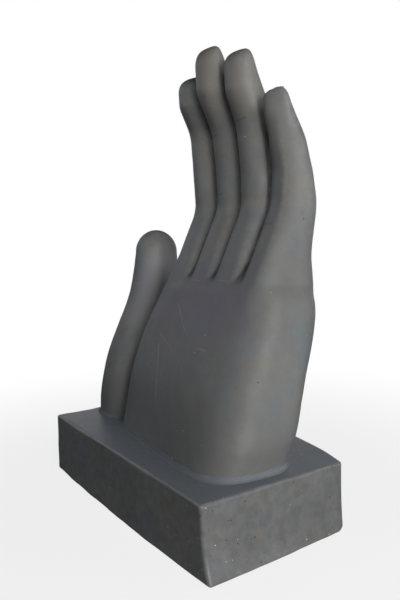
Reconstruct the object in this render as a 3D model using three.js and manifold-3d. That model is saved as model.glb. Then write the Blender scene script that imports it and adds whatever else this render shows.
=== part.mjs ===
// A carved stone hand, open and upright, standing on a stone plinth.
// Millimetres, +Z up. The palm faces -Y, the thumb is on the -X side, and the origin is the middle of the
// plinth's underside. The hand is one stone, and two grouted steel dowels and a mortar bed hold it down.
import * as THREE from "three";
import { mergeVertices } from "three/addons/utils/BufferGeometryUtils.js";
import Module from "manifold-3d";

// Plinth: a block with a straight front, straight ends and a back face that bows out in the middle.
const PLINTH_LENGTH = 403;
const PLINTH_DEPTH = 230;
const PLINTH_HEIGHT = 84;
const PLINTH_BOW = 27;
const PLINTH_CORNER = 5;
const PLINTH_ARRIS = 3;

// Bedding mortar: a thin bed under the hand, drawn up round the foot as a small cove.
const BED_THICKNESS = 3;
const COVE_REACH = 3;
const COVE_RISE = 3;
const COVE_LIP = 0.5;

// Dowels: steel bars in resin, in holes drilled into both stones.
const DOWEL_DIAMETER = 16;
const DOWEL_CHAMFER = 1.5;
const DOWEL_SPACING = 130;
const DOWEL_DEPTH_IN_HAND = 80;
const DOWEL_DEPTH_IN_PLINTH = 55;
const RESIN_WALL = 3;
const FIT_GAP = 0.3;

// The hand stands a little off the plinth's middle. Its own places in X and Y are counted from here.
const HAND_X = 1.5;
const HAND_Y = -2;

// Palm: level sections from the foot up to the finger roots. Heights are above the foot, front and back are
// in Y, left and right in X, and the turn, in degrees, is about the section's own middle. The swelling is
// how far the front stands out at its right end, under the little finger.
const PALM = [
  { height: 0, front: -73, back: 63.5, left: -94, right: 192, turn: -5, swelling: 3 },
  { height: 36, front: -60, back: 73.5, left: -103, right: 187, turn: -4, swelling: 10 },
  { height: 87, front: -41, back: 89.5, left: -106, right: 175, turn: -1.3, swelling: 15 },
  { height: 138, front: -20, back: 107.5, left: -99, right: 168.5, turn: 0, swelling: 10 },
  { height: 179, front: -2, back: 114.5, left: -86, right: 165, turn: 0, swelling: 5 },
  { height: 196, front: 5, back: 109, left: -79, right: 159.5, turn: 0, swelling: 2 },
  { height: 213, front: 36, back: 96, left: -68, right: 146, turn: 0, swelling: 0 },
];
const PALM_CROWN = 14;
const PALM_APEX = 0.6;
const SWELLING_POWER = 2.8;

// Thumb: a column of its own, from the foot beside the palm up to a rounded tip.
const THUMB = [
  { height: 0, front: -54, back: 22, left: -196, right: -107 },
  { height: 36, front: -51, back: 28, left: -198, right: -110 },
  { height: 87, front: -37, back: 40, left: -199, right: -112 },
  { height: 133, front: -17, back: 54, left: -194.5, right: -113 },
  { height: 177, front: 1.5, back: 69, left: -185.5, right: -115 },
  { height: 210, front: 7.5, back: 77, left: -180.5, right: -121 },
  { height: 243, front: 11, back: 77, left: -175, right: -125 },
];
const THUMB_CROWN = 34;
const THUMB_APEX = 0.5;

// Web: the stone left standing behind the groove between thumb and palm, slanting from back to back.
const WEB = [
  { height: 0, front: -12, back: 29, left: -165, right: -45, turn: 16 },
  { height: 40, front: -5, back: 41, left: -165, right: -45, turn: 20 },
  { height: 87, front: 6, back: 55, left: -163, right: -45, turn: 23 },
  { height: 133, front: 28, back: 72, left: -160, right: -45, turn: 22 },
  { height: 172, front: 50, back: 80, left: -152, right: -45, turn: 19 },
];
const WEB_CROWN = 16;
const WEB_APEX = 0.5;

// Fingers: they share the heights of their roots and middle joints, and the depths of their joints. At each
// station, share is how much of its width a finger has, rootShare how much of its root's flare and flatness,
// and squareShare how much of its squareness. The pad and the tip lie part of the way up the end bone.
const FINGER_START = { height: 149, front: -11, back: 86, share: 1, rootShare: 0.5, squareShare: 0 };
const FINGER_ROOT = { height: 190, front: 2, back: 102, share: 1, rootShare: 1, squareShare: 1 };
const FINGER_SHAFT = { height: 243, front: 26, back: 103, share: 0.98, rootShare: 0.4, squareShare: 1 };
const MIDDLE_JOINT = { height: 302, front: 52, back: 110, share: 1.03, rootShare: 0, squareShare: 1 };
const MIDDLE_BONE = { front: 50.5, back: 105.5, share: 0.98, rootShare: 0, squareShare: 1 };
const END_JOINT = { front: 45, back: 93, share: 0.98, rootShare: 0, squareShare: 0 };
const PAD = { at: 0.46, share: 0.95, rootShare: 0, squareShare: 0 };
const TIP = { at: 0.68, share: 0.88, rootShare: 0, squareShare: 0 };

// Each finger's own sizes. X is its middle line, and the tip is above the foot.
const LITTLE_X = 126;
const LITTLE_WIDTH = 52;
const LITTLE_TIP = 438;
const RING_X = 71.5;
const RING_WIDTH = 55;
const RING_TIP = 493;
const MIDDLE_X = 17.5;
const MIDDLE_WIDTH = 56;
const MIDDLE_TIP = 509;
const INDEX_X = -36;
const INDEX_WIDTH = 55;
const INDEX_TIP = 484;

// How long each finger is from its end joint to its tip, how far its pad curls forward, how steeply its nail
// leans, how far its front and back are moved at its root, shaft, middle joint, bone and end joint, and how
// far its root flares out to the left and the right. Squareness tightens the corners of its front.
const STRAIGHT = [0, 0, 0, 0, 0];
const FINGERS = [
  {
    x: LITTLE_X, width: LITTLE_WIDTH, tip: LITTLE_TIP, endLength: 57, curl: 5, nailSlope: 0.6,
    fronts: [0, 2.5, 5, 8, 8], backs: [-1.5, -3, -2.7, -5, -4], flare: [0, 4], squareness: 1,
  },
  {
    x: RING_X, width: RING_WIDTH, tip: RING_TIP, endLength: 90, curl: 17, nailSlope: 0.49,
    fronts: STRAIGHT, backs: [0, 0, 0, -1, -1], flare: [0, 0], squareness: 0,
  },
  {
    x: MIDDLE_X, width: MIDDLE_WIDTH, tip: MIDDLE_TIP, endLength: 105, curl: 24, nailSlope: 0.49,
    fronts: STRAIGHT, backs: STRAIGHT, flare: [0, 0], squareness: 0,
  },
  {
    x: INDEX_X, width: INDEX_WIDTH, tip: INDEX_TIP, endLength: 77, curl: 19, nailSlope: 0.49,
    fronts: [0, 0, -1, -3, 1], backs: STRAIGHT, flare: [10, 0], squareness: 0,
  },
];

// How square each section's corners are: 2 is an ellipse. The order is back right, back left, front left,
// front right. The roots' flatness adds to the front corners where a finger leaves the palm.
const PALM_CORNERS = [3.1, 3, 7, 4.4];
const THUMB_CORNERS = [2.6, 2.6, 2.5, 2.2];
const WEB_CORNERS = [2.6, 2.6, 2.6, 2.6];
const FINGER_CORNERS = [2.8, 2.8, 2, 2];
const ROOT_FLATNESS = 2.5;

// How late a crown's front and sides close: 2 is an ellipse, and a fingertip ends in a broader edge.
const ROUND_CLOSING = { front: 2, sides: 2 };
const TIP_CLOSING = { front: 2.4, sides: 3.6 };

// How much of the runs beside a station its rounding takes up: a half flows, a quarter is a joint.
// The levels are how many sections a run is drawn with.
const FLOWING = { rounding: 0.5, levels: 3 };
const JOINTED = { rounding: 0.25, levels: 4 };

// Fineness of the surfaces.
const CROWN_LEVELS = 5;
const PALM_SIDES = 44;
const THUMB_SIDES = 24;
const WEB_SIDES = 20;
const FINGER_SIDES = 20;
const ROUND_SIDES = 24;
const BOW_STEPS = 16;
const CORNER_STEPS = 3;
const ARRIS_STEPS = 2;
const WELD_DISTANCE = 1e-4;

// Places that follow from the sizes above.
const HAND_FOOT = PLINTH_HEIGHT + BED_THICKNESS;
const DOWEL_LOW = PLINTH_HEIGHT - DOWEL_DEPTH_IN_PLINTH;
const DOWEL_HIGH = HAND_FOOT + DOWEL_DEPTH_IN_HAND;
const RESIN_INNER_RADIUS = DOWEL_DIAMETER / 2 + FIT_GAP;
const RESIN_OUTER_RADIUS = RESIN_INNER_RADIUS + RESIN_WALL;
const HOLE_RADIUS = RESIN_OUTER_RADIUS + FIT_GAP;
const DOWEL_Y = HAND_Y + (PALM[0].front + PALM[0].back) / 2;
const DOWEL_MIDDLE_X = HAND_X + (PALM[0].left + PALM[0].right) / 2;
const DOWELS = [
  { name: "thumb_side", x: DOWEL_MIDDLE_X - DOWEL_SPACING / 2 },
  { name: "little_finger_side", x: DOWEL_MIDDLE_X + DOWEL_SPACING / 2 },
];

const wasm = await Module();
wasm.setup();

// A closed geometry as a solid that can be joined and cut.
function solidOf(geometry) {
  const bare = geometry.clone();
  bare.deleteAttribute("normal");
  bare.deleteAttribute("uv");
  const merged = mergeVertices(bare, WELD_DISTANCE);
  const triVerts = new Uint32Array(merged.index.array);
  const vertProperties = merged.attributes.position.array;
  return new wasm.Manifold(new wasm.Mesh({ numProp: 3, vertProperties, triVerts }));
}

// A solid's surface as a geometry with flat shaded faces.
function geometryOf(solid) {
  const { vertProperties, triVerts } = solid.getMesh();
  const indexed = new THREE.BufferGeometry();
  indexed.setAttribute("position", new THREE.BufferAttribute(vertProperties, 3));
  indexed.setIndex(new THREE.BufferAttribute(triVerts, 1));
  const geometry = indexed.toNonIndexed();
  geometry.computeVertexNormals();
  return geometry;
}

// One value of a form, s stations up. The runs between stations are straight, and each inner station is
// rounded by a quadratic curve that takes up a share of the runs beside it.
function valueAlong(stations, key, s, rounding) {
  const i = THREE.MathUtils.clamp(Math.round(s), 1, stations.length - 2);
  const here = stations[i][key] ?? 0;
  const before = (stations[i - 1][key] ?? 0) - here;
  const after = (stations[i + 1][key] ?? 0) - here;
  const past = s - i;
  if (Math.abs(past) >= rounding) return here + (past < 0 ? -past * before : past * after);
  const share = (past + rounding) / (2 * rounding);
  return here + rounding * ((1 - share) ** 2 * before + share ** 2 * after);
}

const STATION_KEYS = ["height", "front", "back", "left", "right", "turn", "swelling", "flatness"];

// The station that lies s stations up a form.
function stationAt(form, s) {
  const station = {};
  for (const key of STATION_KEYS) {
    station[key] = valueAlong(form.stations, key, s, form.flow.rounding);
  }
  return station;
}

// How far a crown has closed where it has risen by a share of its height.
const closing = (rising, power) => 1 - (1 - rising ** power) ** (1 / power);

// All the level stations of a form: up its runs, then over its crown, whose faces close in on the apex. A
// nail face runs straight up to the apex instead.
function levelsOf(form) {
  const levels = [];
  const runs = form.stations.length - 1;
  for (let k = 0; k <= runs * form.flow.levels; k++) {
    levels.push(stationAt(form, k / form.flow.levels));
  }
  const end = levels.at(-1);
  const middle = (end.left + end.right) / 2;
  for (let k = 1; k < CROWN_LEVELS; k++) {
    const rising = Math.sin((Math.PI / 2) * (k / CROWN_LEVELS));
    const inFront = closing(rising, form.closing.front);
    const beside = closing(rising, form.closing.sides);
    levels.push({
      ...end,
      height: end.height + form.crown * rising,
      front: THREE.MathUtils.lerp(end.front, form.apex, inFront),
      back: THREE.MathUtils.lerp(end.back, form.apex, form.nail ? rising : inFront),
      left: THREE.MathUtils.lerp(end.left, middle, beside),
      right: THREE.MathUtils.lerp(end.right, middle, beside),
    });
  }
  return levels;
}

// The points round one level section, grown outwards on all sides.
function sectionPoints(level, form, grow) {
  const middle = new THREE.Vector2((level.left + level.right) / 2, (level.front + level.back) / 2);
  const half = new THREE.Vector2((level.right - level.left) / 2, (level.back - level.front) / 2);
  half.addScalar(grow);
  const points = [];
  for (let k = 0; k < form.sides; k++) {
    const angle = (2 * Math.PI * k) / form.sides;
    const flatness = angle > Math.PI ? level.flatness : 0;
    const corner = form.corners[Math.floor((4 * k) / form.sides)] + flatness;
    const across = Math.sign(Math.cos(angle)) * Math.abs(Math.cos(angle)) ** (2 / corner);
    const deep = Math.sign(Math.sin(angle)) * Math.abs(Math.sin(angle)) ** (2 / corner);
    const swelling = level.swelling * ((1 + across) / 2) ** SWELLING_POWER * Math.min(deep, 0);
    const point = new THREE.Vector2(middle.x + half.x * across, middle.y + half.y * deep + swelling);
    point.rotateAround(middle, THREE.MathUtils.degToRad(level.turn));
    points.push(new THREE.Vector3(HAND_X + point.x, HAND_Y + point.y, HAND_FOOT + level.height));
  }
  return points;
}

// A closed geometry over a stack of sections with as many points each, closed by a point below and above.
function stackGeometry(sections, lowPoint, highPoint) {
  const sides = sections[0].length;
  const points = [lowPoint, ...sections.flat(), highPoint];
  const high = points.length - 1;
  const at = (level, k) => 1 + level * sides + (k % sides);
  const index = [];
  for (let k = 0; k < sides; k++) {
    index.push(0, at(0, k + 1), at(0, k));
    for (let level = 0; level < sections.length - 1; level++) {
      index.push(at(level, k), at(level, k + 1), at(level + 1, k + 1));
      index.push(at(level, k), at(level + 1, k + 1), at(level + 1, k));
    }
    index.push(at(sections.length - 1, k), at(sections.length - 1, k + 1), high);
  }
  const geometry = new THREE.BufferGeometry().setFromPoints(points);
  geometry.setIndex(index);
  return geometry;
}

// The middle of a ring of points.
function middleOf(points) {
  const sum = new THREE.Vector3();
  for (const point of points) sum.add(point);
  return sum.divideScalar(points.length);
}

// A form of the hand as a solid, grown outwards by a gap where a neighbour has to clear it.
function carve(form, grow = 0) {
  const levels = levelsOf(form);
  const sections = levels.map((level) => sectionPoints(level, form, grow));
  const end = form.stations.at(-1);
  const top = HAND_FOOT + end.height + form.crown + grow;
  const apex = new THREE.Vector3(HAND_X + (end.left + end.right) / 2, HAND_Y + form.apex, top);
  return solidOf(stackGeometry(sections, middleOf(sections[0]), apex));
}

// A finger's stations, from inside the palm to the pad. Its nail face is one straight slope from the joint.
function fingerForm({ x, width, tip, endLength, curl, nailSlope, fronts, backs, flare, squareness }) {
  const endJoint = tip - endLength;
  const boneHeight = (MIDDLE_JOINT.height + endJoint) / 2;
  const padHeight = endJoint + PAD.at * endLength;
  const tipHeight = endJoint + TIP.at * endLength;
  const padFront = END_JOINT.front + fronts.at(-1) - curl;
  const nailAt = (height) => END_JOINT.back + backs.at(-1) - nailSlope * (height - endJoint);
  const joints = [
    FINGER_ROOT,
    FINGER_SHAFT,
    MIDDLE_JOINT,
    { ...MIDDLE_BONE, height: boneHeight },
    { ...END_JOINT, height: endJoint },
  ];
  const moved = joints.map((joint, k) => ({
    ...joint,
    front: joint.front + fronts[k],
    back: joint.back + backs[k],
  }));
  const rows = [
    FINGER_START,
    ...moved,
    { ...PAD, height: padHeight, front: padFront, back: nailAt(padHeight) },
    { ...TIP, height: tipHeight, front: padFront, back: nailAt(tipHeight) },
  ];
  const stations = rows.map((row) => ({
    height: row.height,
    front: row.front,
    back: row.back,
    left: x - (width / 2) * row.share - flare[0] * row.rootShare,
    right: x + (width / 2) * row.share + flare[1] * row.rootShare,
    flatness: Math.max(ROOT_FLATNESS * row.rootShare, squareness * row.squareShare),
  }));
  return {
    stations,
    flow: JOINTED,
    corners: FINGER_CORNERS,
    sides: FINGER_SIDES,
    crown: tip - tipHeight,
    apex: nailAt(tip),
    closing: TIP_CLOSING,
    nail: true,
  };
}

// A flowing form, whose crown closes over the given share of its depth.
function flowingForm(stations, corners, sides, crown, apexShare) {
  const end = stations.at(-1);
  const apex = THREE.MathUtils.lerp(end.front, end.back, apexShare);
  return { stations, flow: FLOWING, corners, sides, crown, apex, closing: ROUND_CLOSING, nail: false };
}

const palmForm = flowingForm(PALM, PALM_CORNERS, PALM_SIDES, PALM_CROWN, PALM_APEX);
const thumbForm = flowingForm(THUMB, THUMB_CORNERS, THUMB_SIDES, THUMB_CROWN, THUMB_APEX);
const webForm = flowingForm(WEB, WEB_CORNERS, WEB_SIDES, WEB_CROWN, WEB_APEX);
const footForms = [palmForm, thumbForm, webForm];

// An upright round bar or tube at a dowel's place, from a profile of radius and height.
function turned(profile, x) {
  const geometry = new THREE.LatheGeometry(profile, ROUND_SIDES);
  geometry.rotateX(Math.PI / 2);
  geometry.translate(x, DOWEL_Y, 0);
  return geometry;
}

// The solids of the drilled holes, from the plinth up into the hand.
function holes() {
  const profile = [
    new THREE.Vector2(0, DOWEL_LOW),
    new THREE.Vector2(HOLE_RADIUS, DOWEL_LOW),
    new THREE.Vector2(HOLE_RADIUS, DOWEL_HIGH),
    new THREE.Vector2(0, DOWEL_HIGH),
  ];
  return DOWELS.map(({ x }) => solidOf(turned(profile, x)));
}

// Joins a list of solids, and cuts a list of solids out of one.
const joinAll = (solids) => solids.reduce((whole, solid) => whole.add(solid));
const cutAll = (solid, cutters) => cutters.reduce((left, cutter) => left.subtract(cutter), solid);

function makeHand() {
  const forms = [...footForms, ...FINGERS.map(fingerForm)];
  const stone = joinAll(forms.map((form) => carve(form)));
  return geometryOf(cutAll(stone, holes()));
}

// The plinth's outline, drawn in by its arris, which the extrusion's bevel puts back.
function plinthOutline() {
  const x = PLINTH_LENGTH / 2 - PLINTH_ARRIS;
  const front = -PLINTH_DEPTH / 2 + PLINTH_ARRIS;
  const back = PLINTH_DEPTH / 2 - PLINTH_BOW - PLINTH_ARRIS;
  const corner = PLINTH_CORNER;
  const bowAt = (place) => back + PLINTH_BOW * (1 - (place / x) ** 2);
  const outline = new THREE.Shape();
  outline.moveTo(-x + corner, front);
  outline.lineTo(x - corner, front);
  outline.quadraticCurveTo(x, front, x, front + corner);
  outline.lineTo(x, back - corner);
  outline.quadraticCurveTo(x, back, x - corner, bowAt(x - corner));
  for (let k = 1; k < BOW_STEPS; k++) {
    const place = x * (1 - (2 * k) / BOW_STEPS);
    outline.lineTo(place, bowAt(place));
  }
  outline.lineTo(-x + corner, bowAt(x - corner));
  outline.quadraticCurveTo(-x, back, -x, back - corner);
  outline.lineTo(-x, front + corner);
  outline.quadraticCurveTo(-x, front, -x + corner, front);
  return outline;
}

function makePlinth() {
  const block = new THREE.ExtrudeGeometry(plinthOutline(), {
    depth: PLINTH_HEIGHT - 2 * PLINTH_ARRIS,
    bevelThickness: PLINTH_ARRIS,
    bevelSize: PLINTH_ARRIS,
    bevelSegments: ARRIS_STEPS,
    curveSegments: CORNER_STEPS,
  });
  block.translate(0, 0, PLINTH_ARRIS);
  return geometryOf(cutAll(solidOf(block), holes()));
}

// One form's share of the cove: a skirt that leans in from the plinth to the hand.
function skirt(form) {
  const foot = stationAt(form, 0);
  const low = sectionPoints({ ...foot, height: -BED_THICKNESS }, form, COVE_REACH);
  const rise = COVE_RISE / form.stations[1].height;
  const high = sectionPoints(stationAt(form, rise), form, FIT_GAP + COVE_LIP);
  return solidOf(stackGeometry([low, high], middleOf(low), middleOf(high)));
}

function makeBedding() {
  const mortar = joinAll(footForms.map(skirt));
  const room = footForms.map((form) => carve(form, FIT_GAP));
  return geometryOf(cutAll(mortar, [...room, ...holes()]));
}

function makeDowel(x) {
  const radius = DOWEL_DIAMETER / 2;
  const top = DOWEL_HIGH - FIT_GAP;
  const profile = [
    new THREE.Vector2(0, DOWEL_LOW),
    new THREE.Vector2(radius - DOWEL_CHAMFER, DOWEL_LOW),
    new THREE.Vector2(radius, DOWEL_LOW + DOWEL_CHAMFER),
    new THREE.Vector2(radius, top - DOWEL_CHAMFER),
    new THREE.Vector2(radius - DOWEL_CHAMFER, top),
    new THREE.Vector2(0, top),
  ];
  return turned(profile, x);
}

function makeResin(x) {
  const profile = [
    new THREE.Vector2(RESIN_INNER_RADIUS, DOWEL_LOW),
    new THREE.Vector2(RESIN_OUTER_RADIUS, DOWEL_LOW),
    new THREE.Vector2(RESIN_OUTER_RADIUS, DOWEL_HIGH),
    new THREE.Vector2(RESIN_INNER_RADIUS, DOWEL_HIGH),
    new THREE.Vector2(RESIN_INNER_RADIUS, DOWEL_LOW),
  ];
  return turned(profile, x);
}

const honedBasalt = new THREE.MeshStandardMaterial({ color: 0x565757, roughness: 0.6, metalness: 0 });
const dressedBasalt = new THREE.MeshStandardMaterial({ color: 0x515253, roughness: 0.7, metalness: 0 });
const greyMortar = new THREE.MeshStandardMaterial({ color: 0x5d6266, roughness: 0.9, metalness: 0 });
const stainlessSteel = new THREE.MeshStandardMaterial({ color: 0xb4b6b8, roughness: 0.35, metalness: 1 });
const epoxyResin = new THREE.MeshStandardMaterial({ color: 0x8a8577, roughness: 0.4, metalness: 0 });

const statue = new THREE.Group();

function addPiece(name, geometry, material) {
  const mesh = new THREE.Mesh(geometry, material);
  mesh.name = name;
  statue.add(mesh);
}

addPiece("plinth", makePlinth(), dressedBasalt);
addPiece("bedding_mortar", makeBedding(), greyMortar);
addPiece("hand", makeHand(), honedBasalt);
for (const { name, x } of DOWELS) {
  addPiece(`dowel_${name}`, makeDowel(x), stainlessSteel);
  addPiece(`resin_${name}`, makeResin(x), epoxyResin);
}

export default statue;
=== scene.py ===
import bmesh
import bpy
import numpy as np
from mathutils import Matrix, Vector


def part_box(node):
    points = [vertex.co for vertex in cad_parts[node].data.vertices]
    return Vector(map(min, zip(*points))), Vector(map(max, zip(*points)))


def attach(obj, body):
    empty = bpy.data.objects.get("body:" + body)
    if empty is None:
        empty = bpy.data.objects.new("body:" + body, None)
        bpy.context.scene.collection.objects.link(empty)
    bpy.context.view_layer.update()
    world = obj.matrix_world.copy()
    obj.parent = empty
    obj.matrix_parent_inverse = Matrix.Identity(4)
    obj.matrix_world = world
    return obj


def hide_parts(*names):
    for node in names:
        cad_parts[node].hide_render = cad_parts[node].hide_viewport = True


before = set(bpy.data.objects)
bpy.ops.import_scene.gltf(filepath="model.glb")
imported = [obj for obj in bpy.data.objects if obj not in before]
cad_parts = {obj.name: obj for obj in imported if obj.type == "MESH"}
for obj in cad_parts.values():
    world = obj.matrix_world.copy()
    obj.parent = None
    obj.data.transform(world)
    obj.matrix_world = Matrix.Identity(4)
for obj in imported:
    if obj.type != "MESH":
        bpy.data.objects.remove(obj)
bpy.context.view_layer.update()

bpy.context.scene.view_settings.view_transform = "Standard"

# Plinth: one block of basalt, sawn, with a straight front, straight ends and a back that bows out.
# Its faces are dressed by hand, so they are a little uneven, and its arrises are rubbed round.
# One lower corner has broken off, and two blind holes in its top take the dowels.
MM = 0.001
PLINTH_BOW = 27.0
PLINTH_CORNER = 9.0
LOW_ARRIS, HIGH_ARRIS = (1.0, 2.6), (2.2, 5.0)  # least and greatest radius
ARRIS_WANDER = 60.0
DRESSING, LONG_WAVE, SHORT_WAVE, SHORT_SHARE = 0.5, 75.0, 28.0, 0.5
FACE_POWER, RIM_POWER, EDGE_POWER = 15, 8, 24
PLINTH_STEP = 2.5
BOW_POINTS, ARRIS_RINGS, WALL_RINGS, LEVEL_RINGS = 33, 7, 30, 36
OUTER_SHARE, INNER_SHARE = 0.985, 0.02
(PLINTH_LEFT, PLINTH_FRONT, _), (PLINTH_RIGHT, PLINTH_BACK, PLINTH_TOP) = np.array(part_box("plinth")) / MM
PLINTH_MIDDLE = np.array([PLINTH_LEFT + PLINTH_RIGHT, PLINTH_FRONT + PLINTH_BACK, PLINTH_TOP]) / 2
PLINTH_HALF = np.array([PLINTH_RIGHT - PLINTH_LEFT, PLINTH_BACK - PLINTH_FRONT, PLINTH_TOP]) / 2
END_FLARE, FLARE_POWER = 10.0, 4
FLARE_ALONG = 0.75, -0.5, -0.2  # coefficients of a polynomial from the front to the back
FRONT_FOOT = -3.9, 1.5, 4.4  # coefficients of a polynomial from the left to the right, in mm
BREAK_FACING, BREAK_DEPTH = (0.60, 0.52, -0.61), 3.0
BREAK_WAVE, BREAK_ROUGHNESS = 12.0, 0.5
HOLE_RADIUS, HOLE_SIDES, HOLE_BELOW, HOLE_ABOVE = 11.9, 64, 0.1, 0.5
WAVES = 12
DOWEL_NODES = ("dowel_thumb_side", "dowel_little_finger_side")


def rounded_loop(corners, step, rounding, samples=15):
    """A closed path through corner points, its points a step apart. Each is the mean of the path over the
    rounding length round it, so straights stay straight and corners become short curves."""
    ends = np.vstack([corners, corners[:1]])
    reached = np.r_[0, np.cumsum(np.linalg.norm(np.diff(ends, axis=0), axis=1))]
    count = int(reached[-1] / step)
    at = np.linspace(0, reached[-1], count, endpoint=False)
    window = np.linspace(-rounding / 2, rounding / 2, samples)
    places = (at[:, None] + window) % reached[-1]
    return np.stack([np.interp(places, reached, ends[:, k]).mean(1) for k in range(2)], -1)


def unevenness(points, wavelength, seed):
    """Smooth unevenness of a hand-worked face, about -1 to 1: the sum of some sine waves of about that
    length in mm, which run in fixed random directions, over half their count."""
    draw = np.random.default_rng(seed)
    directions = draw.normal(size=(WAVES, 3))
    directions /= np.linalg.norm(directions, axis=1, keepdims=True)
    turns = directions * 2 * np.pi / (wavelength * draw.uniform(0.7, 1.4, (WAVES, 1)))
    return np.sin(points @ turns.T + draw.uniform(0, 2 * np.pi, WAVES)).sum(-1) / (WAVES / 2)


def closed_round(grid):
    """Points of a surface of rings, from the lowest ring up, and the corners of its faces. A fan to the mean
    of the first and the last ring closes its ends."""
    rings, sides, _ = grid.shape
    points = np.vstack([grid.reshape(-1, 3), grid[0].mean(0), grid[-1].mean(0)])
    index = np.arange(rings * sides).reshape(rings, sides)
    beside = np.roll(index, -1, axis=1)
    quads = np.stack([index[:-1], beside[:-1], beside[1:], index[1:]], -1).reshape(-1, 4)
    low = np.stack([beside[0], index[0], np.full(sides, rings * sides)], -1)
    high = np.stack([index[-1], beside[-1], np.full(sides, rings * sides + 1)], -1)
    return points, (quads, low, high)


def add_mesh(name, surfaces):
    """An object at the origin whose mesh holds closed surfaces of points in mm, shaded smooth."""
    points, faces, first = [], [], 0
    for surface_points, surface_faces in surfaces:
        points.append(surface_points * MM)
        for corners in surface_faces:
            faces += (first + corners).tolist()
        first += len(surface_points)
    mesh = bpy.data.meshes.new(name)
    mesh.from_pydata(np.vstack(points), [], faces)
    mesh.shade_smooth()
    made = bpy.data.objects.new(name, mesh)
    bpy.context.collection.objects.link(made)
    return made


def settle(piece):
    """Puts the result of a piece's modifiers into its mesh, and takes the modifiers away."""
    evaluated = piece.evaluated_get(bpy.context.evaluated_depsgraph_get())
    mesh = bpy.data.meshes.new_from_object(evaluated)
    piece.modifiers.clear()
    piece.data = mesh
    mesh.shade_smooth()


def combine(piece, other, operation):
    """Cuts one closed object out of another, or joins it to it."""
    boolean = piece.modifiers.new(operation, "BOOLEAN")
    boolean.operation = operation
    boolean.solver = "EXACT"
    boolean.object = other
    settle(piece)


def points_of(piece):
    """The points of a piece's mesh, in mm."""
    flat = np.empty(3 * len(piece.data.vertices))
    piece.data.vertices.foreach_get("co", flat)
    return flat.reshape(-1, 3) / MM


def keep_relief(piece, relief):
    """Keeps a value for each point of a piece, for its material: above 0 on rubbed edges and below 0 in
    hollows."""
    kept = piece.data.attributes.new("relief", "FLOAT", "POINT")
    kept.data.foreach_set("value", relief.astype(np.float32))


def plinth_rings():
    """The block as rings, from the middle of the underside out, up the walls and in over the top. A ring
    is the outline drawn in by a quarter circle at each arris, whose radius wanders along the edge."""
    straight_back = PLINTH_BACK - PLINTH_BOW
    across = np.linspace(1, -1, BOW_POINTS)
    bow = np.stack([PLINTH_MIDDLE[0] + PLINTH_HALF[0] * across,
                    straight_back + PLINTH_BOW * (1 - across**2)], -1)
    corners = np.vstack([[PLINTH_LEFT, PLINTH_FRONT], [PLINTH_RIGHT, PLINTH_FRONT], bow])
    outline = rounded_loop(corners, PLINTH_STEP, PLINTH_CORNER)
    ahead = np.roll(outline, -1, axis=0) - np.roll(outline, 1, axis=0)
    outward = np.stack([ahead[:, 1], -ahead[:, 0]], -1)
    outward /= np.linalg.norm(outward, axis=1, keepdims=True)
    flat = np.c_[outline, np.zeros(len(outline))]
    low_arris, high_arris = (
        least + (most - least) * (0.5 + 0.5 * np.clip(unevenness(flat, ARRIS_WANDER, seed), -1, 1))
        for seed, (least, most) in ((3, LOW_ARRIS), (4, HIGH_ARRIS)))
    turn = np.linspace(0, np.pi / 2, ARRIS_RINGS)[:, None]
    climb = np.linspace(0, 1, WALL_RINGS)[1:-1, None]
    wall = low_arris + (PLINTH_TOP - high_arris - low_arris) * climb
    inset = np.vstack([low_arris * (1 - np.sin(turn)), 0 * wall, high_arris * (1 - np.cos(turn))])
    height = np.vstack([low_arris * (1 - np.cos(turn)), wall,
                        PLINTH_TOP - high_arris + high_arris * np.sin(turn)])
    plan = outline - inset[:, :, None] * outward
    shell = np.concatenate([plan, height[:, :, None]], -1)
    inwards = np.linspace(OUTER_SHARE, INNER_SHARE, LEVEL_RINGS)[:, None, None] * [1, 1, 0] + [0, 0, 1]
    return np.concatenate([(shell[0] * inwards)[::-1], shell, shell[-1] * inwards])


def place_in_block(points):
    """How far a point lies from the block's middle towards its faces, from -1 to 1 along each axis."""
    return (points - PLINTH_MIDDLE) / PLINTH_HALF


def weathered(grid):
    """Moves each point of the block by the unevenness of dressing, in and out of its walls and the rim of
    its top. The right end flares out by a power of the depth below the top, most at the front. The foot of
    the front bends by a quadratic of the place along it. What stands past the broken corner's face is
    pressed back onto that face."""
    inside = place_in_block(grid)
    out = inside**FACE_POWER
    out[..., 2] *= (grid[..., 2] > PLINTH_TOP / 2) * abs(inside[..., :2]).max(-1) ** RIM_POWER
    rough = unevenness(grid, LONG_WAVE, seed=5) + SHORT_SHARE * unevenness(grid, SHORT_WAVE, seed=6)
    worn = grid - DRESSING * out * (1 + rough)[..., None]
    below = 1 - grid[..., 2] / PLINTH_TOP
    flare = END_FLARE * np.polynomial.Polynomial(FLARE_ALONG)(inside[..., 1])
    worn[..., 0] += flare * np.clip(inside[..., 0], 0, 1) * below**FLARE_POWER
    bend = np.polynomial.Polynomial(FRONT_FOOT)(inside[..., 0])
    worn[..., 1] += bend * np.clip(-inside[..., 1], 0, 1) * below
    broken_corner = np.array([PLINTH_RIGHT, PLINTH_BACK - PLINTH_BOW, 0])
    past = (worn - broken_corner) @ np.array(BREAK_FACING) + BREAK_DEPTH
    past += BREAK_ROUGHNESS * unevenness(worn, BREAK_WAVE, seed=7)
    return worn - np.maximum(past, 0)[..., None] * BREAK_FACING


def dowel_holes():
    """Upright cylinders that stand for the drilled holes, from just below each dowel to just above it."""
    holes = []
    for node in DOWEL_NODES:
        low, high = np.array(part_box(node)) / MM
        angle = np.linspace(0, 2 * np.pi, HOLE_SIDES, endpoint=False)
        ring = np.stack([np.cos(angle), np.sin(angle), 0 * angle], -1) * HOLE_RADIUS
        x, y, _ = (low + high) / 2
        rings = [ring + [x, y, low[2] - HOLE_BELOW], ring + [x, y, high[2] + HOLE_ABOVE]]
        holes.append(closed_round(np.array(rings)))
    return add_mesh("dowel_holes", holes)


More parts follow.
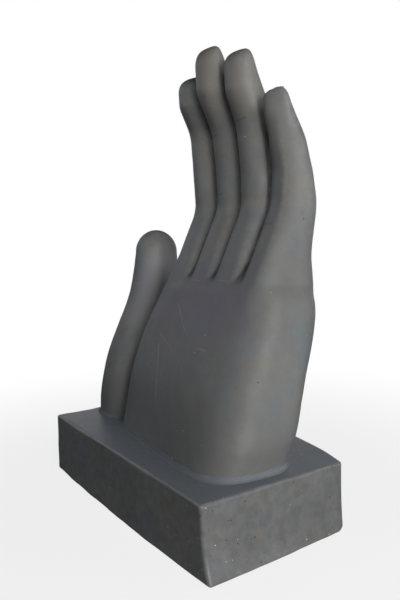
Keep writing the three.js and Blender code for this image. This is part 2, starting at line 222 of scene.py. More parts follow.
plinth = add_mesh("plinth_block", [closed_round(weathered(plinth_rings()))])
holes = dowel_holes()
combine(plinth, holes, "DIFFERENCE")
second_nearest = np.sort(abs(place_in_block(points_of(plinth))), axis=1)[:, 1]  # near 1 where two faces meet
keep_relief(plinth, second_nearest**EDGE_POWER)


def linear(colour):
    """An sRGB hex colour as linear red, green, blue and alpha."""
    part = np.array([int(colour[k:k + 2], 16) for k in (1, 3, 5)]) / 255
    value = np.where(part <= 0.04045, part / 12.92, ((part + 0.055) / 1.055) ** 2.4)
    return (*value.tolist(), 1.0)


def add(tree, kind, settings=None, **links):
    """Adds a node with its settings, and joins or sets its inputs, named with _ for a space or numbered."""
    node = tree.nodes.new(kind)
    for name, value in (settings or {}).items():
        setattr(node, name, value)
    for name, value in links.items():
        name = name.replace("_", " ")
        socket = node.inputs[int(name[2:]) if name.startswith("in") and name[2:].isdigit() else name]
        if isinstance(value, bpy.types.NodeSocket):
            tree.links.new(value, socket)
        else:
            socket.default_value = value
    return node


def new_material(name):
    """An empty node material with its Principled shader and its Object coordinates."""
    material = bpy.data.materials.new(name)
    material.use_nodes = True
    tree = material.node_tree
    place = add(tree, "ShaderNodeTexCoord").outputs["Object"]
    return material, tree, tree.nodes["Principled BSDF"], place


STONE_NOISES = {  # size in mm, detail and seed; the grain is coarser than the real one, so that it shows
    "pale": (70, 4, 1), "blue": (45, 2, 2), "brown": (38, 2, 3), "mottle": (11, 5, 7), "grain": (1.6, 3, 4),
    "rubbing": (9, 3, 5), "dirt": (7, 3, 10), "polish": (30, 3, 6), "pits": (45, 2, 8),
    "crystals": (45, 2, 9),
}
STONE_SPECKS = {  # colour, spacing in crystal spacings, and radius in mm
    "pits": ("#333433", 0.8, 1.3), "crystals": ("#d9d7cc", 1.0, 0.9),
}
# the second value is the roughness that the level faces' tint of painted sky light adds
POLISH_RANGE, SKY_TINT_DULLNESS = 0.08, 0.08
GRAIN_STRENGTH, GRAIN_DEPTH = 0.15, 0.4


def basalt(name, body, roughness, gloss, mottle, crystal_spacing, marks=(), dust=0.0):
    """Fine dark basalt. Under a dull honed surface the eye finds grey clouds a few centimetres wide with a
    blue or a brown cast, a mottle of about 1 cm, a grain of about 1.5 mm, and here and there white crystals
    and dark pits of about 1 mm. Rubbed edges are paler, and hollows are darkened by painted shade. Marks are
    scratches, scuffs and tints, and painted light and shade, along straight strokes, and level faces take a
    blue-grey tint of painted sky light that also dulls them. Each is a layer of colour over the last."""
    material, tree, shader, place = new_material(name)
    noise = {}
    for pattern, (size, detail, seed) in STONE_NOISES.items():
        moved = add(tree, "ShaderNodeMapping", Vector=place, Location=(seed, seed * 0.7, seed * 0.3))
        noise[pattern] = add(tree, "ShaderNodeTexNoise", Vector=moved.outputs[0], Scale=1 / (size * MM),
                             Detail=detail, Roughness=0.6).outputs["Fac"]
    relief = add(tree, "ShaderNodeAttribute", {"attribute_name": "relief"}).outputs["Fac"]
    normal = add(tree, "ShaderNodeNewGeometry").outputs["Normal"]
    upward = add(tree, "ShaderNodeSeparateXYZ", Vector=normal).outputs[2]

    def distance_from_stroke(start, end):
        """How far a place lies from the line from start to end, in mm. Depth counts a tenth."""
        start, end = np.array(start, float), np.array(end, float)
        reach = end - start
        local = add(tree, "ShaderNodeMapping", {"vector_type": "TEXTURE"}, Vector=place,
                    Location=(start + end) / 2 * MM, Rotation=(0, -np.arctan2(reach[2], reach[0]), 0),
                    Scale=(MM, 10 * MM, MM)).outputs[0]
        aside = add(tree, "ShaderNodeVectorMath", {"operation": "ABSOLUTE"}, in0=local).outputs[0]
        half_length = np.hypot(reach[0], reach[2]) / 2
        for operation, other in (("SUBTRACT", (half_length, 0, 0)), ("MAXIMUM", (0, 0, 0))):
            aside = add(tree, "ShaderNodeVectorMath", {"operation": operation},
                        in0=aside, in1=other).outputs[0]
        return add(tree, "ShaderNodeVectorMath", {"operation": "LENGTH"}, in0=aside).outputs["Value"]

    layers = {  # colour, strength, and masks: a value, and where it gives nothing and all of the colour
        "pale": (body["pale"], 1.0, (noise["pale"], 0.35, 0.65)),
        "blue": (body["blue"], 1.0, (noise["blue"], 0.45, 0.8)),
        "brown": (body["brown"], 1.0, (noise["brown"], 0.5, 0.85)),
        "mottle": ("#000000", mottle, (noise["mottle"], 0.65, 0.35)),
        "grain": ("#000000", 0.08, (noise["grain"], 0.75, 0.25)),
        "rubbing": ("#8d8e8d", 0.45, (relief, 0.15, 0.9), (noise["rubbing"], 0.3, 0.7)),
        # painted shade: the hollows of the hand are darkened as though shade lay in them
        "dirt": ("#2c2c2b", 0.95, (relief, -0.12, -0.9), (noise["dirt"], 0.1, 0.55)),
        # painted sky light: level faces take a lighter blue-grey tint
        "dust": ("#737a83", dust, (upward, 0.7, 0.95)),
    }
    for number, (start, end, width, tint, strength) in enumerate(marks):
        layers[f"mark {number}"] = tint, strength, (distance_from_stroke(start, end), width, 0)
    for kind, (tint, share, radius) in STONE_SPECKS.items():
        spacing = share * crystal_spacing
        cells = add(tree, "ShaderNodeTexVoronoi", Vector=place, Scale=1 / (spacing * MM))
        speck = cells.outputs["Distance"], radius / spacing, 0.6 * radius / spacing
        layers[kind] = tint, 1.0, speck, (noise[kind], 0.42, 0.6)
    colour, shares = linear(body["dark"]), {}
    for layer, (tint, share, *masks) in layers.items():
        for value, nothing, full in masks:
            mask = add(tree, "ShaderNodeMapRange", {"interpolation_type": "SMOOTHSTEP"}, Value=value,
                       From_Min=nothing, From_Max=full).outputs["Result"]
            share = add(tree, "ShaderNodeMath", {"operation": "MULTIPLY"}, in0=mask, in1=share).outputs[0]
        shares[layer] = share
        colour = add(tree, "ShaderNodeMix", {"data_type": "RGBA"}, in0=share, in6=colour,
                     in7=linear(tint)).outputs[2]

    tree.links.new(colour, shader.inputs["Base Color"])
    dulled = add(tree, "ShaderNodeMapRange", Value=noise["polish"], To_Min=roughness - POLISH_RANGE,
                 To_Max=roughness + POLISH_RANGE).outputs["Result"]
    dulled = add(tree, "ShaderNodeMath", {"operation": "MULTIPLY_ADD"}, in0=shares["dust"],
                 in1=SKY_TINT_DULLNESS, in2=dulled).outputs[0]
    tree.links.new(dulled, shader.inputs["Roughness"])
    shader.inputs["Specular IOR Level"].default_value = gloss
    bump = add(tree, "ShaderNodeBump", Height=noise["grain"], Strength=GRAIN_STRENGTH,
               Distance=GRAIN_DEPTH * MM)
    tree.links.new(bump.outputs[0], shader.inputs["Normal"])
    return material


PLINTH_COLOURS = {"dark": "#6e7070", "pale": "#797a7a", "blue": "#6e7379", "brown": "#797570"}
# The plinth's level faces take a lighter blue-grey tint of painted sky light.
plinth.data.materials.append(basalt("dressed_basalt", PLINTH_COLOURS, roughness=0.42, gloss=0.5, mottle=0.2,
                                    crystal_spacing=12.0, dust=0.8))
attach(plinth, "root")
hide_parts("plinth")

# Dowels: two rods of stainless steel stand half in the plinth and half in the hand, and keep the hand from
# turning or tipping. Epoxy resin fills their holes round them. Both are cut or cast to the plain solids.
RESIN_NODES = ("resin_thumb_side", "resin_little_finger_side")
STREAK = np.array([0.4, 0.4, 30.0])
BUBBLE_CLOUD = 6.0


def brushed_steel():
    """Bright drawn rod. Fine streaks along the rod, 0.4 mm wide and 30 mm long, vary its gloss."""
    material, tree, shader, place = new_material("stainless_steel")
    drawn = add(tree, "ShaderNodeMapping", Vector=place, Scale=1 / (STREAK * MM)).outputs[0]
    streaks = add(tree, "ShaderNodeTexNoise", Vector=drawn, Scale=1.0, Detail=2.0).outputs["Fac"]
    gloss = add(tree, "ShaderNodeMapRange", Value=streaks, To_Min=0.2, To_Max=0.45).outputs["Result"]
    tree.links.new(gloss, shader.inputs["Roughness"])
    shader.inputs["Base Color"].default_value = linear("#b8babc")
    shader.inputs["Metallic"].default_value = 1.0
    return material


def cast_resin():
    """Hard amber resin, glossy and cloudy with fine air bubbles."""
    material, tree, shader, place = new_material("epoxy_resin")
    clouds = add(tree, "ShaderNodeTexNoise", Vector=place, Scale=1 / (BUBBLE_CLOUD * MM), Detail=4.0)
    tones = add(tree, "ShaderNodeMix", {"data_type": "RGBA"}, in0=clouds.outputs["Fac"],
                in6=linear("#b7a676"), in7=linear("#cdbf97"))
    tree.links.new(tones.outputs[2], shader.inputs["Base Color"])
    shader.inputs["Roughness"].default_value = 0.25
    return material


for nodes, finish in ((DOWEL_NODES, brushed_steel()), (RESIN_NODES, cast_resin())):
    for node in nodes:
        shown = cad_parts[node].data.materials
        shown.clear()
        shown.append(finish)

# Hand: carved from one block of basalt, with the palm, the thumb and the fingers left joined at their
# roots, then rubbed down to an even honed surface. It stands on the bed, on the two dowels.
HAND_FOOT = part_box("hand")[0].z / MM
HAND_X, HAND_Y = 1.5, -2.0
SECTION_VALUES = 10  # height, front, back, left, right, turn, swelling, flatness, bevel and crest
PALM = [  # heights are above the foot, and values that are left out at the end of a row are 0
    (0, -73, 60, -94, 180.5, -5, 3, 0, 0.8),
    (14, -68, 65.5, -97, 183, -4.6, 6, 0, 0.9),
    (38, -59, 74, -103, 185.5, -4, 10, 0, 1.0),
    (87, -41, 89.5, -106, 175, -1.3, 15, 0, 1.3),
    (138, -20, 107.5, -99, 168.5, 0, 10, 0, 1.2),
    (179, -2, 114.5, -86, 165, 0, 5, 0, 0.9),
    (203, 6, 107, -76, 158, 0, 1, 0, 0.8),
    (219, 24, 94, -64, 149, 0, 0, 0, 0.8),
]
PALM_CROWN = 14
PALM_CORNERS = 3.1, 3, 7, 4.4  # powers at the right back, left back, left front and right front
THUMB = [
    (0, -54, 22, -196, -107, 0, 0),
    (36, -51, 28, -198, -110, 0, 0),
    (87, -37, 40, -199, -112, 0, 0),
    (133, -17, 54, -194.5, -113, 0, -3),
    (177, 1.5, 69, -185.5, -115, 2, -5),
    (210, 7.5, 77, -180.5, -121, 4, -8),
    (243, 11, 77, -175, -125, 5, -8),
]
THUMB_CROWN = 34
THUMB_CORNERS = 2.6, 2.6, 2.5, 2.2
WEB = [
    (0, -12, 29, -165, -45, 16),
    (40, -5, 41, -165, -45, 20),
    (87, 6, 55, -163, -45, 23),
    (133, 28, 72, -160, -45, 22),
    (172, 50, 80, -152, -45, 19),
]
WEB_CROWN = 16
WEB_CORNERS = 2.6, 2.6, 2.6, 2.6
FINGER_START = (149, -9, 86)  # height, front and back; the bone and the end joint have their own heights
FINGER_ROOT = (190, 2, 102)
FINGER_SHAFT = (243, 26, 103)
MIDDLE_JOINT = (302, 52, 110)
MIDDLE_BONE = (50.5, 105.5)
END_JOINT = (45, 93)
FINGER_WIDTHS = 1, 1, 0.98, 1.03, 0.98, 0.98, 0.95, 0.88  # from the start, by the joints, to pad and tip
ROOT_SHARES = 0.5, 1, 0.5, 0, 0, 0, 0, 0
SQUARE_SHARES = 0, 1, 1, 1, 1, 0, 0, 0
FLARE_SHARES = 0.5, 1, 0, 0, 0, 0, 0, 0
PAD_SHARES = 0, 0, 0, 0, 0, 0.5, 1, 1
BEVEL_SHARES = 0.9, 2, 1, 1, 1, 0.4, 0.1, 0
CREST_SHARES = 0, 0.2, 0.9, 1, 1, 0.4, 0.1, 0
PAD_AT = 0.46
TIP_AT = 0.68
FINGER_CORNERS = 2.8, 2.8, 2.0, 2.0
TIP_CLOSING = 2.4
CREST = 7.0
ROOT_FLATNESS = 3.2
FINGERS = {  # the front and back values move a finger's root, shaft, middle joint, bone and end joint
    "little": {"x": 126, "width": 52, "end_joint": 381, "tip": 438, "curl": 5, "nail_slope": 0.6,
               "fronts": (0, 2.5, 5, 10, 8.5), "backs": (-1.5, -3, -2.7, -5, -4), "flare": (0, 6),
               "turn": 18, "taper": 0.2, "closing": 2.6, "squareness": 1, "bevel": 1.6, "lean": 0.5},
    "ring": {"x": 71.5, "width": 55, "end_joint": 403, "tip": 493, "curl": 17, "nail_slope": 0.49,
             "backs": (0, 0, 0, -1, -1), "turn": 6, "taper": 0.06},
    "middle": {"x": 17.5, "width": 56, "end_joint": 404, "tip": 509, "curl": 24, "nail_slope": 0.49,
               "turn": 4, "taper": 0.04},
    "index": {"x": -36, "width": 55, "end_joint": 407, "tip": 484, "curl": 19, "nail_slope": 0.49,
              "fronts": (0, 0, -1, -3, 1), "flare": (10, 0), "turn": 3, "taper": 0.03},
}
NOT_MOVED = 0, 0, 0, 0, 0
FINGER_ROUNDING, FORM_ROUNDING = 0.25, 0.5
CROWN_RINGS = 50
SWELLING_POWER = 2.8
VOXEL = 2.45


def along(rows, count, rounding):
    """Values along a row of stations: straight runs, and at each inner station a quadratic curve that
    takes up a share of the runs beside it."""
    p = np.asarray(rows, float)
    s = np.linspace(0, len(p) - 1, count)
    i = np.clip(np.round(s).astype(int), 1, len(p) - 2)
    past = (s - i)[:, None]
    before, after = p[i - 1] - p[i], p[i + 1] - p[i]
    share = np.clip((past + rounding) / (2 * rounding), 0, 1)
    curve = rounding * ((1 - share) ** 2 * before + share**2 * after)
    run = np.where(past < 0, -past * before, past * after)
    return p[i] + np.where(abs(past) < rounding, curve, run)


def filled(sections):
    """Sections with a 0 for each value that their stations leave out."""
    return np.pad(sections, ((0, 0), (0, SECTION_VALUES - sections.shape[1])))


def carved(rows, corners, rounding, crown, apex, nail=0, lean=0, rings=200, sides=240):
    """A form of the hand as rings: level sections whose sides follow the stations, and above them a crown
    that closes on the apex like an ellipse. A nail's face runs straight up to the apex instead. Its front
    and its sides close by higher powers, so that the fingertip ends in a broad edge, and a lean moves that
    edge to the right by a share of the half width."""
    levels = filled(along(rows, rings, rounding))
    angle = np.linspace(0, np.pi / 2, CROWN_RINGS)[1:-1]
    rising = np.sin(angle)
    powers = (TIP_CLOSING, nail) if nail else (2, 2)
    closing, narrowing = (1 - (1 - rising**power) ** (1 / power) for power in powers)
    z, front, back, left, right, turn, swelling, flatness, bevel, crest = levels[-1]
    middle = (left + right) / 2 + lean * (right - left) / 2
    over = np.stack([
        z + crown * rising,
        front + (apex - front) * closing,
        back + (apex - back) * (rising if nail else closing),
        left + (middle - left) * narrowing,
        right + (middle - right) * narrowing,
        turn + 0 * angle,
        swelling * (1 - closing),
        flatness + 0 * angle,
        bevel + 0 * angle,
        crest * (1 - narrowing),
    ], -1)
    return level_sections(np.vstack([levels, over]), corners, sides)


def level_sections(sections, corners, sides):
    """Level sections as rings: superellipses between front, back, left and right, turned about the vertical.
    A swelling pushes the front out towards its right, flatness squares the corners of the front, a bevel
    takes its right corner off, and a crest moves the line where the bevel begins to the right."""
    values = filled(sections).T[:, :, None]
    z, front, back, left, right, turn, swelling, flatness, bevel, crest = values
    angle = np.linspace(0, 2 * np.pi, sides, endpoint=False)
    corner = (angle // (np.pi / 2)).astype(int)
    power = 2 / (np.asarray(corners, float)[corner] + flatness * (corner > 1) - bevel * (corner == 3))
    across = np.sign(np.cos(angle)) * abs(np.cos(angle)) ** power
    deep = np.sign(np.sin(angle)) * abs(np.sin(angle)) ** power
    swelling = swelling * (0.5 + 0.5 * across) ** SWELLING_POWER * np.minimum(deep, 0)
    crest = crest * (corner > 1)
    across = crest + across * ((right - left) / 2 - np.sign(across) * crest)
    deep = deep * (back - front) / 2 + swelling
    turn = np.radians(turn)
    x = (left + right) / 2 + across * np.cos(turn) - deep * np.sin(turn)
    y = (front + back) / 2 + across * np.sin(turn) + deep * np.cos(turn)
    return np.stack([HAND_X + x, HAND_Y + y, HAND_FOOT + z + 0 * x], -1)


def finger(x, width, end_joint, tip, curl, nail_slope, turn, taper, fronts=NOT_MOVED, backs=NOT_MOVED,
           flare=(0, 0), closing=3.6, squareness=0, bevel=0, lean=0):
    """A finger from inside the palm to its tip: root, shaft, middle joint, bone, end joint and pad. A flare
    widens its root to a side, squareness gives its front tighter corners, and a bevel with its crest gives
    it a slanting right corner. Its pad turns to the right and tapers, and its tip closes by a power and may
    lean."""
    length = tip - end_joint
    bone = (MIDDLE_JOINT[0] + end_joint) / 2
    pad, last = end_joint + PAD_AT * length, end_joint + TIP_AT * length
    pad_front = END_JOINT[0] + fronts[-1] - curl

    def nail_at(height):
        return END_JOINT[1] + backs[-1] - nail_slope * (height - end_joint)

    joints = np.array([FINGER_ROOT, FINGER_SHAFT, MIDDLE_JOINT, (bone, *MIDDLE_BONE),
                       (end_joint, *END_JOINT)])
    joints[:, 1] += fronts
    joints[:, 2] += backs
    ends = [(height, pad_front, nail_at(height)) for height in (pad, last)]
    z, front, back = np.vstack([FINGER_START, joints, ends]).T
    flared, on_pad = np.array(FLARE_SHARES), np.array(PAD_SHARES)
    half = width / 2 * np.array(FINGER_WIDTHS) * (1 - taper * on_pad)
    flatness = np.maximum(ROOT_FLATNESS * np.array(ROOT_SHARES), squareness * np.array(SQUARE_SHARES))
    bevelled = bevel * np.array(BEVEL_SHARES)
    crest = CREST * (bevel > 0) * np.array(CREST_SHARES)
    sections = np.stack([z, front, back, x - half - flare[0] * flared, x + half + flare[1] * flared,
                         turn * on_pad, 0 * z, flatness, bevelled, crest], -1)
    return carved(sections, FINGER_CORNERS, FINGER_ROUNDING, tip - last, nail_at(tip), nail=closing,
                  lean=lean)


def flowing(rows, corners, crown, apex_share, sides=300):
    """A form that flows from station to station, with its crown's apex at a share of its depth."""
    front, back = rows[-1][1:3]
    return carved(rows, corners, FORM_ROUNDING, crown, front + (back - front) * apex_share, sides=sides)


def hand_forms():
    """The palm, the thumb, the web between them and the four fingers, each a closed surface."""
    forms = [
        flowing(PALM, PALM_CORNERS, PALM_CROWN, apex_share=0.6, sides=600),
        flowing(THUMB, THUMB_CORNERS, THUMB_CROWN, apex_share=0.5),
        flowing(WEB, WEB_CORNERS, WEB_CROWN, apex_share=0.5),
    ]
    return forms + [finger(**sizes) for sizes in FINGERS.values()]


hand = add_mesh("carved_hand", [closed_round(form) for form in hand_forms()])
one_stone = hand.modifiers.new("one_stone", "REMESH")
one_stone.mode = "VOXEL"
one_stone.voxel_size = VOXEL * MM
settle(hand)

EASE_IN, EASE_OUT = 0.6, -0.56
EASE_ROUNDS, ROUNDS_EVERYWHERE = 60, 6
FREE_HEIGHTS = 0.5, 6  # a range from where something begins to where it is full, here and below
ROOTS_BEGIN, ROOTS_END = (150, 185), (235, 275)
OUTER_SIDE, OUTER_BACK = (104, 122), (78, 96)
LITTLE_ROOT = np.array([HAND_X + 134, HAND_Y, HAND_FOOT + 172])
LITTLE_ROOT_REACH = 48.0, 0.4 * 48.0
CARVING_WAVES = (55, 0.35, 11), (20, 0.15, 12)  # length and height in mm, and seed


def eased(points, edges, weights):
    """Moves each point by its weight towards the mean of its neighbours, or away from it below 0."""
    ends = np.r_[edges[:, 0], edges[:, 1]]
    others = np.r_[edges[:, 1], edges[:, 0]]
    count = np.bincount(ends, minlength=len(points))[:, None]
    sums = np.stack([np.bincount(ends, points[others, k], len(points)) for k in range(3)], -1)
    return points + weights[:, None] * (sums / count - points)


def smooth_step(value, low, high):
    """0 below low, 1 above high, and a smooth rise between."""
    share = np.clip((value - low) / (high - low), 0, 1)
    return share * share * (3 - 2 * share)


def edges_of(piece):
    """The pairs of points that a piece's edges join."""
    flat = np.empty(2 * len(piece.data.edges), dtype=np.int32)
    piece.data.edges.foreach_get("vertices", flat)
    return flat.reshape(-1, 2)


def normals_of(piece):
    """The outward direction at each point of a piece."""
    flat = np.empty(3 * len(piece.data.vertices))
    piece.data.vertices.foreach_get("normal", flat)
    return flat.reshape(-1, 3)


def rubbed_down(piece):
    """Rubs the joined forms into one another: rounds of easing in and out take small steps away and keep the
    bulk. They work everywhere a little, and longer on the outer side and the back of the finger roots, where
    no groove runs. The little finger's root is then eased in alone, until the palm runs into it. The foot
    stays as it is. Last, the unevenness of carving moves the face in and out."""
    points, edges = points_of(piece), edges_of(piece)
    height = points[:, 2] - HAND_FOOT
    free = smooth_step(height, *FREE_HEIGHTS)
    roots = smooth_step(height, *ROOTS_BEGIN) * (1 - smooth_step(height, *ROOTS_END))
    outer = np.maximum(smooth_step(points[:, 0], *OUTER_SIDE), smooth_step(points[:, 1], *OUTER_BACK))
    blend = free * roots * outer
    for step in range(EASE_ROUNDS):
        local = free if step < ROUNDS_EVERYWHERE else blend
        points = eased(points, edges, EASE_IN * local)
        points = eased(points, edges, EASE_OUT * local)
    near = smooth_step(np.linalg.norm(points - LITTLE_ROOT, axis=1), *LITTLE_ROOT_REACH)
    for _ in range(EASE_ROUNDS):
        points = eased(points, edges, EASE_IN * near)
    carving = sum(depth * unevenness(points, wave, seed) for wave, depth, seed in CARVING_WAVES)
    points += (free * carving)[:, None] * normals_of(piece)
    piece.data.vertices.foreach_set("co", (points * MM).ravel())
    piece.data.update()


def relief_of(piece, rounds, scale):
    """How far each point stands out of its surroundings, in units of a scale in mm: what rounds of easing
    take off it along its outward direction."""
    points, edges = points_of(piece), edges_of(piece)
    around = points
    for _ in range(rounds):
        around = eased(around, edges, np.full(len(points), EASE_IN))
    return ((points - around) * normals_of(piece)).sum(1) / scale


rubbed_down(hand)
combine(hand, holes, "DIFFERENCE")
keep_relief(hand, relief_of(hand, rounds=8, scale=0.6))

PALM_SLOPE = 0.4
FINGER_FRONT = 48.0


def on_palm(x, height):
    """A point of the palm's face, which leans back from its foot."""
    return HAND_X + x, HAND_Y + PALM[0][1] + PALM_SLOPE * height, HAND_FOOT + height


def on_finger(x, height):
    """A point of the fingers' fronts."""
    return HAND_X + x, HAND_Y + FINGER_FRONT, HAND_FOOT + height


HAND_MARKS_AND_PAINTED_LIGHT = [  # from, to, half width in mm, colour and strength
    # a purplish tint on the palm, painted shade over its lower part and the thumb's foot, paler browner
    # pads, painted light on the upper thumb
    (on_palm(-20, 175), on_palm(90, 175), 75.0, "#66646f", 0.8),
    (on_palm(-160, 20), on_palm(126, 30), 95.0, "#585959", 0.9),
    (on_finger(80, 434), on_finger(80, 470), 36.0, "#88827a", 0.55),
    (on_finger(22, 440), on_finger(26, 490), 34.0, "#837d75", 0.6),
    (on_finger(118, 388), on_finger(122, 412), 27.0, "#838481", 0.7),
    (on_finger(-140, 150), on_finger(-122, 224), 34.0, "#86868e", 0.8),
    # painted shade in two grooves: the little finger's shadow on the ring finger, and the thumb's side along
    # the palm
    (on_finger(104, 350), on_finger(103, 412), 18.0, "#323231", 0.95),
    (on_palm(-114, -10), on_palm(-113, 105), 10.0, "#2a2a2a", 0.75),
    # scratches and scuffs on the palm, and pale lines at its top edge
    (on_palm(-11, 177), on_palm(20, 150), 1.1, "#a2a2a0", 0.55),
    (on_palm(20, 150), on_palm(38, 139), 1.0, "#a2a2a0", 0.4),
    (on_palm(-26, 122), on_palm(-8, 84), 1.3, "#a2a2a0", 0.75),
    (on_palm(-8, 84), on_palm(6, 51), 1.2, "#a2a2a0", 0.5),
    (on_palm(-31, 134), on_palm(11, 119), 1.0, "#a2a2a0", 0.4),
    (on_palm(69, 128), on_palm(88, 128), 2.0, "#8d7b7d", 0.7),
    (on_palm(-2, 208), on_palm(24, 208), 1.0, "#8f8f90", 0.5),
    (on_palm(62, 210), on_palm(86, 210), 1.0, "#8f8f90", 0.5),
    # at the finger joints: a dark blue-grey patch, dark lines of painted shade for creases the mesh doesn't
    # carve, and pale lines
    (on_finger(52, 416), on_finger(58, 424), 14.0, "#454c4e", 0.7),
    (on_finger(62, 408), on_finger(82, 410), 1.6, "#363737", 0.6),
    (on_finger(1, 397), on_finger(18, 398), 1.8, "#363737", 0.5),
    (on_finger(8, 321), on_finger(20, 322), 2.2, "#363737", 0.5),
    (on_finger(25, 301), on_finger(36, 301), 0.9, "#8f8f90", 0.5),
    (on_finger(116, 290), on_finger(134, 290), 1.0, "#808080", 0.5),
    (on_finger(112, 279), on_finger(128, 279), 2.6, "#484a4a", 0.5),
]
HAND_COLOURS = {"dark": "#6b6c6c", "pale": "#757675", "blue": "#697176", "brown": "#77726a"}
hand.data.materials.append(basalt("honed_basalt", HAND_COLOURS, roughness=0.55, gloss=0.5, mottle=0.07,
                                  crystal_spacing=24.0, marks=HAND_MARKS_AND_PAINTED_LIGHT))
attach(hand, "root")
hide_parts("hand")

# Bedding mortar: fine lime mortar that was spread on the plinth before the hand was lowered onto it. What
# came out round the foot was wiped to a small hollow cove.
COVE_REACH, COVE_LIP, COVE_RISE, COVE_RINGS = 3.6, 0.3, 3.4, 8
COVE_INSIDE, COVE_INSIDE_RISE = -3.0, 0.6  # the hidden edge that the foot cuts away
FOOT_INSET, FOOT_ABOVE, FOOT_RINGS = -0.8, 2.0, 5
FOOT_STATIONS = 400


def round_foot(name, rows, corners, out, height, sides):
    """A closed solid round the foot of one form: its lowest sections, drawn out by a distance at each
    height."""
    foot = along(rows, FOOT_STATIONS, FORM_ROUNDING)
    levels = np.maximum(height - HAND_FOOT, 0)
    sections = np.stack([np.interp(levels, foot[:, 0], column) for column in foot.T], -1)
    sections[:, 0] = height - HAND_FOOT
    sections[:, 1:5] += out[:, None] * [-1, 1, -1, 1]
    return add_mesh(name, [closed_round(level_sections(sections, corners, sides))])


FOOT_FORMS = (PALM, PALM_CORNERS), (THUMB, THUMB_CORNERS), (WEB, WEB_CORNERS)
COVE_TURN = np.linspace(0, np.pi / 2, COVE_RINGS)
COVE_TOP = HAND_FOOT + COVE_RISE
COVE_OUT = np.r_[COVE_REACH, COVE_REACH * (1 - np.sin(COVE_TURN)), COVE_INSIDE]
COVE_HEIGHT = PLINTH_TOP + COVE_LIP + (COVE_TOP - PLINTH_TOP - COVE_LIP) * (1 - np.cos(COVE_TURN))
COVE_HEIGHT = np.r_[PLINTH_TOP, COVE_HEIGHT, COVE_TOP + COVE_INSIDE_RISE]
FOOT_OUT = np.full(FOOT_RINGS, FOOT_INSET)
FOOT_HEIGHT = np.linspace(HAND_FOOT, COVE_TOP + FOOT_ABOVE, FOOT_RINGS)
COVE_SIDES, FOOT_SIDES = 180, 212  # different, so that no two of the solids' edges coincide
APART = 0.03  # so that no two of the solids' flat ends lie in one plane
SLIVER = 0.02  # edges shorter than this, left where the solids meet, are closed up
mortar, *beds = [round_foot("bedding_mortar_cove", *form, COVE_OUT, COVE_HEIGHT + k * APART, COVE_SIDES)
                 for k, form in enumerate(FOOT_FORMS)]
feet = [round_foot("foot", *form, FOOT_OUT, FOOT_HEIGHT + k * APART, FOOT_SIDES)
        for k, form in enumerate(FOOT_FORMS)]
for operation, others in (("UNION", beds), ("DIFFERENCE", [*feet, holes])):
    for other in others:
        combine(mortar, other, operation)
        bpy.data.objects.remove(other)
wiped = bmesh.new()
wiped.from_mesh(mortar.data)
bmesh.ops.remove_doubles(wiped, verts=wiped.verts, dist=SLIVER * MM)
bmesh.ops.dissolve_degenerate(wiped, edges=wiped.edges, dist=SLIVER * MM)
wiped.to_mesh(mortar.data)
wiped.free()

SAND_GRAIN, MORTAR_CLOUD = 1.2, 45.0
SAND_STRENGTH, SAND_DEPTH = 0.4, 0.4


def lime_mortar():
    """Dull blue-grey mortar with grains of sand of about 1 mm, darker where stone dust lies on it."""
    material, tree, shader, place = new_material("bedding_mortar")
    sand, dust = (
        add(tree, "ShaderNodeTexNoise", Vector=place, Scale=1 / (size * MM), Detail=3.0).outputs["Fac"]
        for size in (SAND_GRAIN, MORTAR_CLOUD))
    tones = add(tree, "ShaderNodeMix", {"data_type": "RGBA"}, in0=dust,
                in6=linear("#646a70"), in7=linear("#757b82"))
    tones = add(tree, "ShaderNodeMix", {"data_type": "RGBA", "blend_type": "OVERLAY"}, in0=0.25,
                in6=tones.outputs[2], in7=sand)
    tree.links.new(tones.outputs[2], shader.inputs["Base Color"])
    shader.inputs["Roughness"].default_value = 0.85
    shader.inputs["Specular IOR Level"].default_value = 0.3
    bump = add(tree, "ShaderNodeBump", Height=sand, Strength=SAND_STRENGTH, Distance=SAND_DEPTH * MM)
    tree.links.new(bump.outputs[0], shader.inputs["Normal"])
    return material


mortar.data.materials.append(lime_mortar())
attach(mortar, "root")
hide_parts("bedding_mortar")

# Studio: a pale floor that fades to a white backdrop, soft square lamps, the strongest of them on the little
# finger's side, a faint sky, pale walls that only gloss shows, and the camera at the photograph's angle.
CAMERA_PLACE = (0.6937, -0.4353, 0.3536)
CAMERA_AZIMUTH, CAMERA_ELEVATION, CAMERA_ROLL = 56.5, 6.0, -1.39
CAMERA_LENS = 36.66
WORLD_LIGHT = 0.09


def aim(azimuth, elevation, roll=0.0):
    """A turn about the vertical, a tilt and a roll, as the rotation of a camera or a lamp that looks from
    that side at the middle of the scene."""
    a, e, r = np.radians([azimuth, elevation, roll])
    back = np.array([np.sin(a) * np.cos(e), -np.cos(a) * np.cos(e), np.sin(e)])
    right = np.array([np.cos(a), np.sin(a), 0])
    up = np.cross(back, right)
    turned = np.cos(r) * right + np.sin(r) * up, np.cos(r) * up - np.sin(r) * right, back
    matrix = np.eye(4)
    matrix[:3, :3] = np.array(turned).T
    return matrix


def put(name, data, place, matrix):
    """Links a camera or a lamp, at a place and turned by a matrix."""
    made = bpy.data.objects.new(name, data)
    bpy.context.collection.objects.link(made)
    matrix = matrix.copy()
    matrix[:3, 3] = place
    made.matrix_world = Matrix(matrix.tolist())
    return made


camera = bpy.data.cameras.new("camera")
camera.lens = CAMERA_LENS
bpy.context.scene.camera = put("camera", camera, CAMERA_PLACE,
                               aim(CAMERA_AZIMUTH, CAMERA_ELEVATION, CAMERA_ROLL))

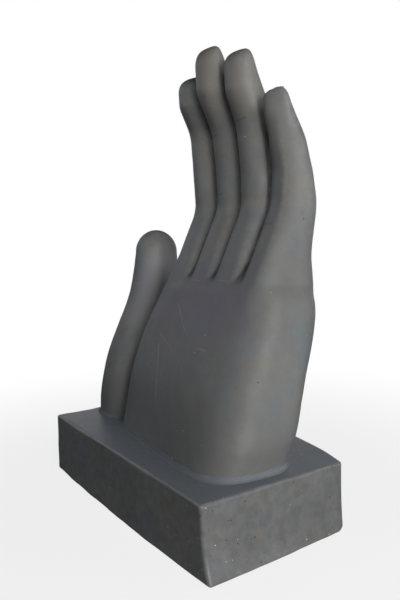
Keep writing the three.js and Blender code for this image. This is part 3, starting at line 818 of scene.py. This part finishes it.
LAMPS = {  # azimuth, elevation, distance, height aimed at and size in metres, power in watts, colour
    "key_lamp": (81, 3, 2.4, 0.3, 0.9, 32, "#fffefb"),
    "near_lamp": (70, 0, 0.95, 0.7, 0.4, 2.6, "#fffcf6"),
    "side_lamp": (135, 5, 2.4, 0.3, 0.9, 13, "#fdfdfd"),
    "back_lamp": (200, 5, 2.4, 0.3, 0.9, 5, "#f4f8ff"),
    "left_lamp": (290, 25, 2.4, 0.3, 0.9, 5, "#eaf1ff"),
}
for name, (azimuth, elevation, distance, height, size, power, colour) in LAMPS.items():
    lamp = bpy.data.lights.new(name, "AREA")
    lamp.shape = "SQUARE"
    lamp.size = size
    lamp.energy = power
    lamp.color = linear(colour)[:3]
    turned = aim(azimuth, elevation)
    put(name, lamp, turned[:3, 2] * distance + [0, 0, height], turned)

FLOOR_RADIUS, FLOOR_THICKNESS, FLOOR_SIDES = 9000.0, 20.0, 96
FADE_FROM, FADE_TO = 0.2, 0.9
FADE_LEAST = 0.8
rim = np.linspace(0, 2 * np.pi, FLOOR_SIDES, endpoint=False)
rim = FLOOR_RADIUS * np.stack([np.cos(rim), np.sin(rim), 0 * rim], -1)
floor = add_mesh("floor", [closed_round(np.array([rim - [0, 0, FLOOR_THICKNESS], rim]))])
pale, tree, shader, place = new_material("pale_floor")
shader.inputs["Base Color"].default_value = linear("#e9e9e8")
shader.inputs["Roughness"].default_value = 0.9
shader.inputs["Specular IOR Level"].default_value = 0.0
seen = add(tree, "ShaderNodeLightPath").outputs["Is Camera Ray"]
dull = add(tree, "ShaderNodeBsdfDiffuse", Color=linear("#808080")).outputs[0]
paled = add(tree, "ShaderNodeMixShader", in0=seen, in1=dull, in2=shader.outputs[0]).outputs[0]
distance = add(tree, "ShaderNodeVectorMath", {"operation": "LENGTH"}, Vector=place).outputs["Value"]
fade = add(tree, "ShaderNodeMapRange", {"interpolation_type": "SMOOTHSTEP"}, Value=distance,
           From_Min=FADE_FROM, From_Max=FADE_TO, To_Min=FADE_LEAST).outputs["Result"]
share = add(tree, "ShaderNodeMath", {"operation": "MULTIPLY"}, in0=fade, in1=seen).outputs[0]
white = add(tree, "ShaderNodeEmission", Color=(1, 1, 1, 1), Strength=1.0).outputs[0]
both = add(tree, "ShaderNodeMixShader", in0=share, in1=paled, in2=white).outputs[0]
tree.links.new(both, tree.nodes["Material Output"].inputs["Surface"])
floor.data.materials.append(pale)

WALLS = (  # azimuth, cosine of the angle from its middle at which it begins and is full, brightness
    (243, 0.8, 0.97, 1.15), (290, 0.8, 0.97, 0.5), (10, 0.55, 0.85, 1.7))
world = bpy.data.worlds.new("white_studio")
bpy.context.scene.world = world
world.use_nodes = True
tree = world.node_tree
tree.nodes.clear()
path = add(tree, "ShaderNodeLightPath").outputs
glossy = path["Is Glossy Ray"]
bright = add(tree, "ShaderNodeMath", {"operation": "MAXIMUM"}, in0=path["Is Camera Ray"],
             in1=path["Is Transmission Ray"]).outputs[0]
seen = add(tree, "ShaderNodeMath", {"operation": "MAXIMUM"}, in0=bright, in1=glossy).outputs[0]
towards = add(tree, "ShaderNodeTexCoord").outputs["Generated"]
for azimuth, least, most, strength in WALLS:
    side = aim(azimuth, 0)[:3, 2]
    facing = add(tree, "ShaderNodeVectorMath", {"operation": "DOT_PRODUCT"},
                 in0=towards, in1=side).outputs["Value"]
    wall = add(tree, "ShaderNodeMapRange", {"interpolation_type": "SMOOTHSTEP"}, Value=facing,
               From_Min=least, From_Max=most, To_Max=strength).outputs["Result"]
    wall = add(tree, "ShaderNodeMath", {"operation": "MULTIPLY"}, in0=wall, in1=glossy).outputs[0]
    bright = add(tree, "ShaderNodeMath", {"operation": "MAXIMUM"}, in0=bright, in1=wall).outputs[0]
light = add(tree, "ShaderNodeBackground", Color=linear("#f2f6ff"), Strength=WORLD_LIGHT).outputs[0]
white = add(tree, "ShaderNodeBackground", Color=(1, 1, 1, 1), Strength=bright).outputs[0]
both = add(tree, "ShaderNodeMixShader", in0=seen, in1=light, in2=white).outputs[0]
add(tree, "ShaderNodeOutputWorld", Surface=both)
